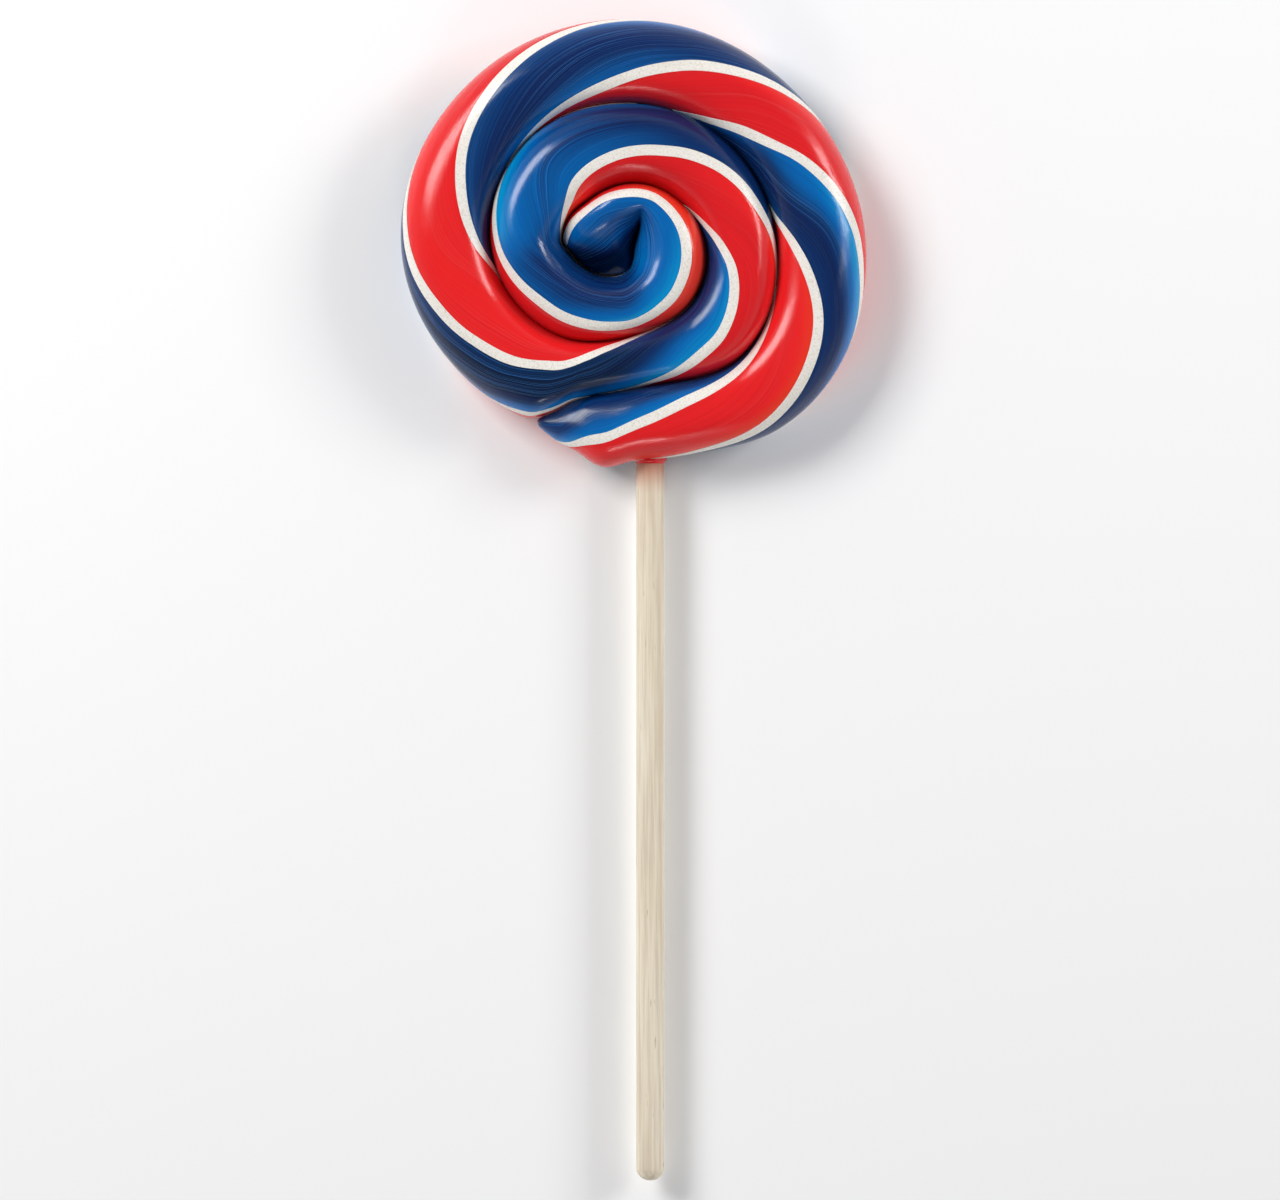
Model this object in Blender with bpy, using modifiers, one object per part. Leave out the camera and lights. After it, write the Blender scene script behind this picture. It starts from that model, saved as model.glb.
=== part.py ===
"""A swirl lollipop lying on its back: a twisted, striped candy rope coiled flat on a wooden stick.

The rope has a white core whose four ribs reach the surface as white lines. Two red and two blue
strips lie between the ribs. The rope starts in a short stub at the eye of the coil, folds back on
itself, and winds clockwise outward to a pinched tip beside the stick.

Frame: the origin is on the flat back of the head, on the stick's line, under the innermost turn
just above the eye. +Z is the shown face and the stick runs along -Y.
"""

import math
from dataclasses import dataclass

import bmesh
import bpy
from mathutils import Vector

MM = 0.001

# Head: the coil is measured about the middle of its own outline.
OUTLINE_CENTRE = Vector((-2.55 * MM, -5.8 * MM))
FIRST_TURN = 2.0
LAST_TURN = 1017.5
RING_COUNT = 134
# What asks for another section: mm along the outer edge, mm in or out, degrees of the coil.
RING_TRAVEL = 5.5
RING_SHIFT = 1.6
RING_BEND = 22.0

# Radius in mm of the rope's outer edge, at angles wound clockwise from the head's left side.
OUTER_EDGE = (
    (0, 11.2), (20, 11.1), (45, 9.8), (90, 9.4), (135, 9.7), (180, 11.2), (225, 12.9), (270, 14.4),
    (315, 19.2), (360, 22.5), (405, 23.3), (450, 22.0), (495, 21.7), (540, 22.4), (585, 24.4),
    (620, 22.3), (640, 23.7), (651, 26.3), (657, 29.8), (661, 31.8), (666, 32.5), (680, 33.7),
    (720, 36.6), (765, 36.2), (810, 35.3), (855, 34.8), (900, 36.4), (930, 37.5), (952, 36.9),
    (972, 34.4), (990, 33.8), (1010, 33.3), (1020, 32.0),
)
# A drop of candy that ran down beside the stick: where, how far in mm and how wide in degrees.
DROP_TURN = 998.0
DROP_REACH = 1.7
DROP_HALF_WIDTH = 6.0

# Inner edge of the first turn in mm, from the stub round the fold and along the rim of the pit.
PIT_RIM = (
    (0, -9.5, -2.0), (15, -6.0, -4.5), (30, -1.8, -4.6), (45, 0.4, -2.6), (60, 0.8, -0.1),
    (75, 0.85, 1.5), (90, 0.9, 2.5), (105, 1.0, 2.8), (120, 1.15, 2.4), (150, 1.3, 0.6),
    (180, 1.2, -1.1), (210, 0.8, -2.8), (240, -0.2, -4.3), (270, -2.4, -5.2),
    (300, -5.5, -5.0), (330, -8.9, -3.1), (360, -11.4, 0.3), (375, -10.9, 2.9),
)
RIM_END = 372.0

# Heights in mm: the crest of the rope and the level where neighbouring turns touch.
CREST = (
    (0, 7.6), (15, 9.8), (30, 11.8), (60, 13.3), (200, 13.8), (400, 13.6), (620, 12.9), (700, 12.6),
    (980, 12.2), (1005, 10.6), (1020, 7.0),
)
TOUCH_LEVEL = 6.0 * MM
UNDERSIDE = 6.5 * MM
# Where the crest stands between the inner edge (0) and the outer edge (1).
CREST_SEAT = ((0, 0.62), (60, 0.60), (110, 0.5), (1020, 0.5))

# White lines that have passed over the crest, counted from the outer tip inward.
LINES_PASSED = (
    (0, 7.86), (30, 7.77), (60, 7.78), (90, 7.85), (120, 7.83), (210, 7.83), (240, 7.80),
    (270, 7.73), (300, 7.81), (330, 7.81), (345, 7.73), (360, 7.62), (375, 7.50), (405, 7.20),
    (435, 7.12), (480, 6.95), (510, 6.75), (525, 6.58), (540, 6.32), (555, 6.10), (585, 5.91),
    (600, 5.82), (615, 5.63), (645, 5.27), (660, 5.14), (675, 4.97), (690, 4.80), (705, 4.58),
    (720, 4.37), (735, 4.12), (780, 3.54), (810, 3.12), (825, 2.95), (840, 2.64), (855, 2.29),
    (870, 2.01), (885, 1.70), (900, 1.37), (915, 1.06), (930, 0.81), (975, 0.15), (990, -0.02),
    (996, -0.12), (1001, -0.25), (1005, -0.42), (1009, -0.55), (1020, -0.6),
)

# Degrees by which the lines crowd towards both edges: round the eye, where the rope's end
# overlaps it, and at that pinched end, which cuts slantwise through them.
CROWDING = (
    (0, 16.0), (360, 16.0), (420, 0.0), (590, 0.0), (622, 24.0), (648, 24.0), (668, 0.0),
    (994, 0.0), (1001, 16.0), (1008, 48.0), (1020, 50.0),
)

# Section of the rope: 2 is an ellipse and more is squarer. PRESSED is added where turns touch.
TOP_ROUNDNESS = 2.25
UNDER_ROUNDNESS = 2.7
PRESSED = 0.8
PRESS_BLEND = 14.0
GAP = 0.3 * MM
LINE_SPACING = 90.0
RIB_HALF_ANGLE = 7.0
STRIP_MARGIN = 10.0
ARC_STEPS = 4
STRIP_DEPTH = 0.13
CORE_DEPTH = 0.18

# Stick, and the blind bore that is cut for it from outside the head.
STICK_RADIUS = 2.2 * MM
STICK_LENGTH = 139.7 * MM
STICK_HEIGHT = 4.8 * MM
STICK_END_Y = -152.9 * MM
STICK_TOP_Y = STICK_END_Y + STICK_LENGTH
STICK_NOSE = 2.0 * MM
STICK_NOSE_STEPS = 6
STICK_SIDES = 20
BORE_START_Y = -51.0 * MM

RED = (0.72, 0.012, 0.012, 1.0)
BLUE = (0.004, 0.052, 0.25, 1.0)
WHITE = (0.83, 0.80, 0.72, 1.0)
WOOD = (0.72, 0.60, 0.43, 1.0)


def clear_scene():
    """Removes whatever the file held."""
    for old in list(bpy.data.objects):
        bpy.data.objects.remove(old)


def material(name, colour, roughness):
    """A Principled material of one colour."""
    made = bpy.data.materials.new(name)
    made.use_nodes = True
    shader = made.node_tree.nodes["Principled BSDF"]
    shader.inputs["Base Color"].default_value = colour
    shader.inputs["Roughness"].default_value = roughness
    shader.inputs["Metallic"].default_value = 0.0
    made.diffuse_color = colour
    return made


def eased(table, at, column=1):
    """Reads a table of hand-set values along one smooth curve through all of them."""
    last = len(table) - 2
    k = next((i for i in range(last) if at < table[i + 1][0]), last)
    x0, x1 = table[k][0], table[k + 1][0]
    y0, y1 = table[k][column], table[k + 1][column]
    before, after = table[max(k - 1, 0)], table[min(k + 2, last + 1)]
    slope0 = (y1 - before[column]) / (x1 - before[0])
    slope1 = (after[column] - y0) / (after[0] - x0)
    t = (at - x0) / (x1 - x0)
    span = x1 - x0
    return (
        y0 * (1 + 2 * t) * (1 - t) ** 2
        + y1 * t * t * (3 - 2 * t)
        + slope0 * span * t * (1 - t) ** 2
        - slope1 * span * t * t * (1 - t)
    )


def ramp(value, low, high):
    """0 below low, 1 above high, with a soft rise between."""
    t = min(max((value - low) / (high - low), 0.0), 1.0)
    return t * t * (3 - 2 * t)


def outer_radius(turn):
    """Distance of the rope's outer edge from the middle of the outline."""
    drop = DROP_REACH * math.exp(-(((turn - DROP_TURN) / DROP_HALF_WIDTH) ** 2))
    return (eased(OUTER_EDGE, turn) + drop) * MM


def edge_point(turn):
    """Point of the outer edge, wound clockwise from the left."""
    angle = math.radians(turn)
    reach = outer_radius(turn)
    return OUTLINE_CENTRE + Vector((-math.cos(angle), math.sin(angle))) * reach


def inner_point(turn):
    """Point of the inner edge: the pit's rim at first, then the turn before."""
    if turn > RIM_END:
        return edge_point(turn - 360)
    rim = Vector((eased(PIT_RIM, turn, 1), eased(PIT_RIM, turn, 2))) * MM
    return OUTLINE_CENTRE + rim


@dataclass
class Station:
    """One upright section of the rope, from its inner to its outer edge."""

    middle: Vector
    across: Vector
    inner_width: float
    outer_width: float
    crest: float
    inner_press: float
    outer_press: float
    crowding: float

    def point(self, degrees, inset=0.0):
        """Point at an angle round the section: 0 is outward, 90 the crest.

        inset is the share of the way from the surface to the section's middle.
        """
        angle = math.radians(degrees)
        angle -= math.radians(self.crowding) * math.cos(angle)
        c, s = math.cos(angle), math.sin(angle)
        roundness = TOP_ROUNDNESS if s > 0 else UNDER_ROUNDNESS
        width, press = (
            (self.outer_width, self.outer_press) if c > 0 else (self.inner_width, self.inner_press)
        )
        reach = math.copysign(abs(c) ** (2 / (roundness + press)) * width, c)
        height = self.crest - TOUCH_LEVEL if s > 0 else UNDERSIDE
        rise = max(math.copysign(abs(s) ** (2 / roundness) * height, s), -TOUCH_LEVEL)
        keep = 1 - inset
        flat = self.middle + self.across * reach * keep
        return Vector((flat.x, flat.y, TOUCH_LEVEL + rise * keep))


def station(turn):
    """Section of the rope at an angle wound clockwise from the left."""
    inner, outer = inner_point(turn), edge_point(turn)
    across = (outer - inner).normalized()
    in_touch = ramp(turn, RIM_END - PRESS_BLEND, RIM_END + PRESS_BLEND)
    out_touch = 1 - ramp(turn, LAST_TURN - 360, LAST_TURN - 360 + PRESS_BLEND)
    width = (outer - inner).length - GAP / 2 * (in_touch + out_touch)
    seat = eased(CREST_SEAT, turn)
    inner += across * in_touch * GAP / 2
    return Station(
        middle=inner + across * width * seat,
        across=across,
        inner_width=width * seat,
        outer_width=width * (1 - seat),
        crest=eased(CREST, turn) * MM,
        inner_press=PRESSED * in_touch,
        outer_press=PRESSED * out_touch,
        crowding=max(eased(CROWDING, turn), 0.0),
    )


def ring_turns():
    """Angles of the sections, closer together where the edge runs far or moves in or out."""
    span = LAST_TURN - FIRST_TURN
    steps = round(span)
    turns = [FIRST_TURN + span * i / steps for i in range(steps + 1)]
    need = [0.0]
    for before, after in zip(turns, turns[1:]):
        travel = (edge_point(after) - edge_point(before)).length / MM
        shift = abs(outer_radius(after) - outer_radius(before)) / MM
        need.append(need[-1] + travel / RING_TRAVEL + shift / RING_SHIFT + 1 / RING_BEND)
    chosen = []
    for i in range(RING_COUNT + 1):
        goal = need[-1] * i / RING_COUNT
        k = min(sum(1 for value in need if value < goal), steps)
        lower = need[max(k - 1, 0)]
        part = (goal - lower) / (need[k] - lower) if need[k] > lower else 0.0
        chosen.append(turns[max(k - 1, 0)] + part)
    return chosen


def line_angle(turn, line):
    """Where a white line stands round the section."""
    return 90 + LINE_SPACING * (eased(LINES_PASSED, turn) - line)


def strip_profile():
    """Corners of a coloured strip: (angle from its first line, inset), outer face first."""
    low, high = STRIP_MARGIN, LINE_SPACING - STRIP_MARGIN
    face = [(low + (high - low) * i / ARC_STEPS, 0.0) for i in range(ARC_STEPS + 1)]
    return face + [(high, STRIP_DEPTH), (low, STRIP_DEPTH)]


def core_profile():
    """Corners of the white core: four ribs, with a flat between each two."""
    corners = []
    for k in range(4):
        rib = LINE_SPACING * k
        corners += [
            (rib - RIB_HALF_ANGLE, CORE_DEPTH),
            (rib - RIB_HALF_ANGLE, 0.0),
            (rib + RIB_HALF_ANGLE, 0.0),
            (rib + RIB_HALF_ANGLE, CORE_DEPTH),
        ]
    return corners


def end_cap(bm, ring, ribbed):
    """Closes one end: a facet for each rib's four corners, and a fan for what is left."""
    left = ring
    if ribbed:
        for k in range(0, len(ring), 4):
            bm.faces.new(ring[k : k + 4])
        left = [corner for i, corner in enumerate(ring) if i % 4 in (0, 3)]
    bmesh.ops.poke(bm, faces=[bm.faces.new(left)])


def twisted_piece(name, profile, line, finish, collection, ribbed=False):
    """Runs a profile along the whole rope, turning with the white line it is measured from.

    Every facet is split from its lower angle, or its corner at the surface, on the earlier section
    to the other corner on the later one. So both sides of a seam fold alike and it stays open.
    """
    turns = ring_turns()
    bm = bmesh.new()
    rings = []
    for turn in turns:
        section = station(turn)
        zero = line_angle(turn, line)
        rings.append([bm.verts.new(section.point(zero + a, inset)) for a, inset in profile])
    count = len(profile)
    for lower, upper in zip(rings, rings[1:]):
        for j in range(count):
            k = (j + 1) % count
            step = (profile[k][0] - profile[j][0] + 180) % 360 - 180
            if (step, profile[k][1] - profile[j][1]) < (0.0, 0.0):
                bm.faces.new((lower[j], lower[k], upper[j]))
                bm.faces.new((lower[k], upper[k], upper[j]))
            else:
                bm.faces.new((lower[j], lower[k], upper[k]))
                bm.faces.new((lower[j], upper[k], upper[j]))
    for ring in (rings[0], rings[-1]):
        end_cap(bm, ring, ribbed)
    bmesh.ops.recalc_face_normals(bm, faces=bm.faces)
    mesh = bpy.data.meshes.new(name)
    bm.to_mesh(mesh)
    bm.free()
    mesh.shade_smooth()
    mesh.set_sharp_from_angle(angle=math.radians(50))
    mesh.materials.append(finish)
    piece = bpy.data.objects.new(name, mesh)
    collection.objects.link(piece)
    return piece


def wooden_stick(finish, collection):
    """A turned dowel with a round lower end, laid along -Y."""
    corners = [
        (0.0, 0.0, STICK_LENGTH),
        (STICK_RADIUS - GAP, 0.0, STICK_LENGTH),
        (STICK_RADIUS, 0.0, STICK_LENGTH - GAP),
    ]
    for i in range(STICK_NOSE_STEPS):
        angle = math.radians(90 * i / STICK_NOSE_STEPS)
        corners.append((STICK_RADIUS * math.cos(angle), 0.0, STICK_NOSE * (1 - math.sin(angle))))
    corners.append((0.0, 0.0, 0.0))
    mesh = bpy.data.meshes.new("stick")
    mesh.from_pydata(corners, [(i, i + 1) for i in range(len(corners) - 1)], [])
    stick = bpy.data.objects.new("stick", mesh)
    collection.objects.link(stick)
    screw = stick.modifiers.new("turn", "SCREW")
    screw.steps = STICK_SIDES
    screw.render_steps = STICK_SIDES
    screw.use_merge_vertices = True
    screw.merge_threshold = 0.00001
    stick.location = (0.0, STICK_END_Y, STICK_HEIGHT)
    stick.rotation_euler = (math.radians(-90), 0.0, 0.0)
    mesh.materials.append(finish)
    return stick


def stick_bore(collection):
    """Cutter for the blind hole that the stick sits in."""
    top = STICK_TOP_Y + GAP
    bpy.ops.mesh.primitive_cylinder_add(
        vertices=STICK_SIDES,
        radius=STICK_RADIUS + GAP,
        depth=top - BORE_START_Y,
        location=(0.0, (top + BORE_START_Y) / 2, STICK_HEIGHT),
        rotation=(math.radians(90), 0.0, 0.0),
    )
    cutter = bpy.context.object
    cutter.name = "stick_bore"
    cutter.hide_render = True
    cutter.display_type = "WIRE"
    for home in list(cutter.users_collection):
        home.objects.unlink(cutter)
    collection.objects.link(cutter)
    return cutter


def main():
    """Builds the candy rope and its stick."""
    clear_scene()
    parts = bpy.data.collections.new("lollipop")
    cutters = bpy.data.collections.new("cutters")
    for group in (parts, cutters):
        bpy.context.scene.collection.children.link(group)
    red = material("red_candy", RED, 0.12)
    blue = material("blue_candy", BLUE, 0.12)
    white = material("white_candy", WHITE, 0.35)
    wood = material("wood", WOOD, 0.7)

    candy = [twisted_piece("candy_core", core_profile(), 0, white, parts, ribbed=True)]
    strips = (
        ("red_strip_1", 1, red),
        ("blue_strip_1", 2, blue),
        ("red_strip_2", 3, red),
        ("blue_strip_2", 4, blue),
    )
    for name, line, finish in strips:
        candy.append(twisted_piece(name, strip_profile(), line, finish, parts))
    bore = stick_bore(cutters)
    for piece in candy:
        cut = piece.modifiers.new("bore", "BOOLEAN")
        cut.operation = "DIFFERENCE"
        cut.solver = "EXACT"
        cut.object = bore
    wooden_stick(wood, parts)


main()
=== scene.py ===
"""Dresses a swirl lollipop that lies on its back: glossy striped candy rope on a birch stick."""

import logging
import math
from dataclasses import dataclass, field
from enum import Enum
from typing import Callable, Sequence

import bmesh
import bpy
from mathutils import Matrix, Vector, noise


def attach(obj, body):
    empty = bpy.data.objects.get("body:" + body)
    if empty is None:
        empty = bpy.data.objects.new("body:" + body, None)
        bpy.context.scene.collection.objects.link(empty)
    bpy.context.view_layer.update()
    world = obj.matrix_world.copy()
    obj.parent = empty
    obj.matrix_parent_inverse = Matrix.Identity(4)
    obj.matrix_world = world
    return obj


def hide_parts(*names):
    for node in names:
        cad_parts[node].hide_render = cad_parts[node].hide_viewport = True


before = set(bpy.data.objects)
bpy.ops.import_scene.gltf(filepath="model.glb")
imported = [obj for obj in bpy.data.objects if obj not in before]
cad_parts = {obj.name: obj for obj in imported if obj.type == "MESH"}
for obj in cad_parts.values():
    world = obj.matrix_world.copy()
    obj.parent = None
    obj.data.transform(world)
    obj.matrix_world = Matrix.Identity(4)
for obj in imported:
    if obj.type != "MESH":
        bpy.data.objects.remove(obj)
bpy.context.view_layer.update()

log = logging.getLogger("lollipop")

MM = 0.001
BODY = "root"
Table = tuple[tuple[float, ...], ...]
ROPE_UV = "rope"
UV_SPAN = 100.0 * MM
GLOW = "thin_edge_and_painted_light"
DEPTH_AND_PIT_SHADE = "candy_depth_and_pit_shade"
WELD = 0.01 * MM


def eased(table: Table, at: float, column: int = 1) -> float:
    """Reads a table of given values along one smooth curve through all of them.

    Args:
        table: rows that start with their place along the curve.
        at: the place asked for.
        column: which value of the rows is read.

    Returns:
        The value at that place.
    """
    last = len(table) - 2
    k = next((i for i in range(last) if at < table[i + 1][0]), last)
    x0, x1 = table[k][0], table[k + 1][0]
    y0, y1 = table[k][column], table[k + 1][column]
    before, after = table[max(k - 1, 0)], table[min(k + 2, last + 1)]
    slope0 = (y1 - before[column]) / (x1 - before[0])
    slope1 = (after[column] - y0) / (after[0] - x0)
    span = x1 - x0
    t = (at - x0) / span
    return (
        y0 * (1 + 2 * t) * (1 - t) ** 2
        + y1 * t * t * (3 - 2 * t)
        + slope0 * span * t * (1 - t) ** 2
        - slope1 * span * t * t * (1 - t)
    )


def ramp(value: float, low: float, high: float) -> float:
    """Rises softly from 0 at low to 1 at high.

    Args:
        value: the value looked at.
        low: where the rise starts.
        high: where it ends.

    Returns:
        A share from 0 to 1.
    """
    t = min(max((value - low) / (high - low), 0.0), 1.0)
    return t * t * (3 - 2 * t)


@dataclass(frozen=True)
class Section:
    """One upright section of the rope, from its inner to its outer edge."""

    middle: Vector
    across: Vector
    inner_width: float
    outer_width: float
    crest: float
    touch_level: float
    inner_level: float
    underside: float
    inner_press: float
    outer_press: float
    crowding: float
    top_roundness: float
    under_roundness: float
    slump: float
    softness: float = 0.08

    def point(self, degrees: float, inset: float = 0.0) -> Vector:
        """Gives a point at an angle round the section.

        Args:
            degrees: 0 is outward, 90 the crest, 180 inward.
            inset: share of the way from the surface to the section's middle.

        Returns:
            The point, in metres.
        """
        angle = math.radians(degrees)
        angle -= math.radians(self.crowding) * math.cos(angle)
        c, s = math.cos(angle), math.sin(angle)
        outward = 0.5 + 0.5 * c / math.sqrt(c * c + self.softness)
        roundness = self.under_roundness
        if s > 0:
            roundness = self.top_roundness - self.slump * (1 - outward)
        power = roundness + self.outer_press * outward + self.inner_press * (1 - outward)
        blunt = ((c * c + self.softness) / (1 + self.softness)) ** (1 / power - 0.5)
        reach = min(abs(c) * blunt, 1.0)
        rise = (1 - reach**power) ** (1 / roundness)
        width, level = self.outer_width, self.touch_level
        if c < 0:
            width, level = self.inner_width, self.inner_level
        height = self.crest - level if s > 0 else -self.underside
        flat = self.middle + self.across * math.copysign(reach * width, c) * (1 - inset)
        high = max(level + rise * height, 0.0) - self.touch_level
        return Vector((flat.x, flat.y, max(self.touch_level + high * (1 - inset), 0.0)))


@dataclass(frozen=True)
class Coil:
    """The rope's route: how far out each turn runs, how high it stands and how it twists.

    Angles are wound clockwise from the head's left side, and the tables are in mm and degrees.
    Each step along the rope covers some of: travel, the mm along its edge; shift, the mm in or out;
    and bend, the degrees of turn.
    """

    centre: Vector = field(default_factory=lambda: Vector((-2.55 * MM, -5.8 * MM)))
    first_turn: float = 2.0
    last_turn: float = 1018.6
    outer_edge: Table = (
        (0, 11.2), (20, 11.1), (45, 9.8), (90, 9.4), (135, 9.7), (180, 11.2), (225, 12.9),
        (270, 14.4), (315, 19.2), (360, 22.5), (405, 23.3), (450, 22.0), (495, 21.7), (540, 22.4),
        (585, 24.4), (620, 22.3), (640, 23.7), (651, 26.3), (657, 29.8), (661, 31.8), (666, 32.5),
        (680, 33.7), (720, 36.6), (765, 36.2), (810, 35.3), (855, 34.8), (900, 36.4), (930, 37.5),
        (952, 36.9), (972, 34.4), (990, 33.8), (1010, 33.3), (1020, 32.0),
    )
    drop_turn: float = 998.0
    drop_reach: float = 1.7
    drop_half_width: float = 6.0
    pit_rim: Table = (
        (0, -9.6, -1.8), (15, -6.6, -4.3), (30, -2.5, -4.6), (45, -0.5, -3.4), (60, 0.0, -1.3),
        (75, 0.25, 0.6), (90, 0.6, 2.3), (105, 0.68, 3.3), (120, 0.72, 2.7), (135, 0.55, 1.8),
        (150, 0.3, 0.9), (180, -0.05, -0.7), (210, -0.15, -2.1), (240, -0.7, -3.8),
        (270, -2.6, -4.95), (300, -5.6, -4.9), (330, -8.8, -3.1), (345, -10.2, -1.4),
        (360, -11.25, 0.3), (375, -10.9, 2.9),
    )
    rim_end: float = 372.0
    crest: Table = (
        (0, 7.6), (15, 9.8), (30, 11.8), (60, 13.3), (200, 13.8), (400, 13.6), (620, 12.9),
        (700, 12.6), (980, 12.2), (1005, 10.6), (1020, 7.0),
    )
    crest_seat: Table = ((0, 0.74), (60, 0.72), (130, 0.5), (1020, 0.5))
    slump: Table = ((0, 0.85), (60, 0.8), (120, 0.0), (1020, 0.0))
    lines_passed: Table = (
        (0, 7.86), (30, 7.79), (45, 7.77), (60, 7.80), (75, 7.84), (90, 7.86), (105, 7.86),
        (120, 7.83), (210, 7.83), (240, 7.80), (255, 7.76), (270, 7.73), (285, 7.77), (300, 7.81),
        (315, 7.82), (330, 7.81), (345, 7.73), (360, 7.62), (375, 7.50), (390, 7.35), (405, 7.20),
        (435, 7.12), (465, 7.02), (480, 6.95), (495, 6.87), (510, 6.75), (525, 6.58), (540, 6.32),
        (555, 6.10), (585, 5.91), (600, 5.82), (615, 5.63), (645, 5.27), (660, 5.18), (675, 4.98),
        (690, 4.86), (705, 4.70), (720, 4.37), (735, 4.12), (780, 3.54), (810, 3.15), (825, 2.97),
        (840, 2.70), (855, 2.33), (870, 2.01), (885, 1.74), (900, 1.37), (915, 1.06), (930, 0.81),
        (975, 0.15), (990, -0.02), (996, -0.08), (1001, -0.16), (1005, -0.27), (1009, -0.46),
        (1012, -0.57), (1020, -0.62),
    )
    crowding: Table = (
        (0, 32.0), (60, 32.0), (130, 20.0), (300, 24.0), (375, 24.0), (405, 14.0), (440, 0.0),
        (470, 4.0), (495, 9.0), (508, 5.0), (525, 0.0), (590, 0.0), (622, 24.0), (645, 22.0),
        (652, 0.0), (660, -13.0), (668, -6.0), (680, 10.0), (694, 24.0), (704, 22.0), (718, 4.0),
        (730, 0.0), (770, 2.0), (800, 4.0), (840, -7.0), (855, -8.0), (868, 1.0), (882, 14.0),
        (896, 1.0), (910, -9.0), (930, -8.0), (975, 0.0), (994, 0.0), (1001, 16.0), (1008, 48.0),
        (1012, 55.0), (1020, 56.0),
    )
    line_spacing: float = 90.0
    touch_level: float = 6.0 * MM
    pit_level: float = 3.2 * MM
    underside: float = 6.5 * MM
    top_roundness: float = 2.25
    under_roundness: float = 2.7
    pressed: float = 0.8
    press_blend: float = 14.0
    gap: float = -0.24 * MM
    tip_length: float = 1.1
    travel: float = 5.5
    shift: float = 1.6
    bend: float = 22.0

    def outer_radius(self, turn: float) -> float:
        """Gives the distance of the rope's outer edge from the middle of the outline."""
        away = (turn - self.drop_turn) / self.drop_half_width
        return (eased(self.outer_edge, turn) + self.drop_reach * math.exp(-away * away)) * MM

    def edge_point(self, turn: float) -> Vector:
        """Gives the point of the outer edge at an angle.

        Args:
            turn: the angle, wound clockwise from the head's left side.

        Returns:
            The point, seen from above, in metres.
        """
        angle = math.radians(turn)
        reach = self.outer_radius(turn)
        return self.centre + Vector((-math.cos(angle), math.sin(angle))) * reach

    def inner_point(self, turn: float) -> Vector:
        """Gives the point of the inner edge: the pit's rim at first, then the turn before.

        Args:
            turn: the angle, wound clockwise from the head's left side.

        Returns:
            The point, seen from above, in metres.
        """
        if turn > self.rim_end:
            return self.edge_point(turn - 360)
        rim = Vector((eased(self.pit_rim, turn, 1), eased(self.pit_rim, turn, 2)))
        return self.centre + rim * MM

    def section(self, turn: float) -> Section:
        """Cuts the rope at an angle.

        Args:
            turn: the angle, wound clockwise from the head's left side.

        Returns:
            The section there.
        """
        inner, outer = self.inner_point(turn), self.edge_point(turn)
        across = (outer - inner).normalized()
        blend = self.press_blend
        in_touch = ramp(turn, self.rim_end - blend, self.rim_end + blend)
        out_touch = 1 - ramp(turn, self.last_turn - 360, self.last_turn - 360 + blend)
        width = (outer - inner).length - self.gap / 2 * (in_touch + out_touch)
        seat = eased(self.crest_seat, turn)
        inner = inner + across * in_touch * self.gap / 2
        return Section(
            middle=inner + across * width * seat,
            across=across,
            inner_width=width * seat,
            outer_width=width * (1 - seat),
            crest=eased(self.crest, turn) * MM,
            touch_level=self.touch_level,
            inner_level=self.pit_level + (self.touch_level - self.pit_level) * in_touch,
            underside=self.underside,
            inner_press=self.pressed * in_touch,
            outer_press=self.pressed * out_touch,
            crowding=eased(self.crowding, turn),
            top_roundness=self.top_roundness,
            under_roundness=self.under_roundness,
            slump=max(eased(self.slump, turn), 0.0),
        )

    def line_angle(self, turn: float, line: int) -> float:
        """Gives where a white line stands round the section."""
        return 90 + self.line_spacing * (eased(self.lines_passed, turn) - line)

    def stations(self, count: int) -> list[float]:
        """Spreads sections along the rope, closer where its edge runs far or moves in or out.

        Args:
            count: how many steps the rope is cut into.

        Returns:
            The sections' angles, from the stub in the eye to the outer tip.
        """
        span = self.last_turn - self.first_turn
        steps = round(span)
        turns = [self.first_turn + span * i / steps for i in range(steps + 1)]
        need = [0.0]
        for before, after in zip(turns, turns[1:]):
            far = (self.edge_point(after) - self.edge_point(before)).length / MM
            out = abs(self.outer_radius(after) - self.outer_radius(before)) / MM
            need.append(need[-1] + far / self.travel + out / self.shift + 1 / self.bend)
        chosen: list[float] = []
        k = 1
        for i in range(count + 1):
            goal = need[-1] * i / count
            while k < steps and need[k] < goal:
                k += 1
            part = (goal - need[k - 1]) / (need[k] - need[k - 1])
            chosen.append(turns[k - 1] + (turns[k] - turns[k - 1]) * min(part, 1.0))
        return chosen


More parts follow.
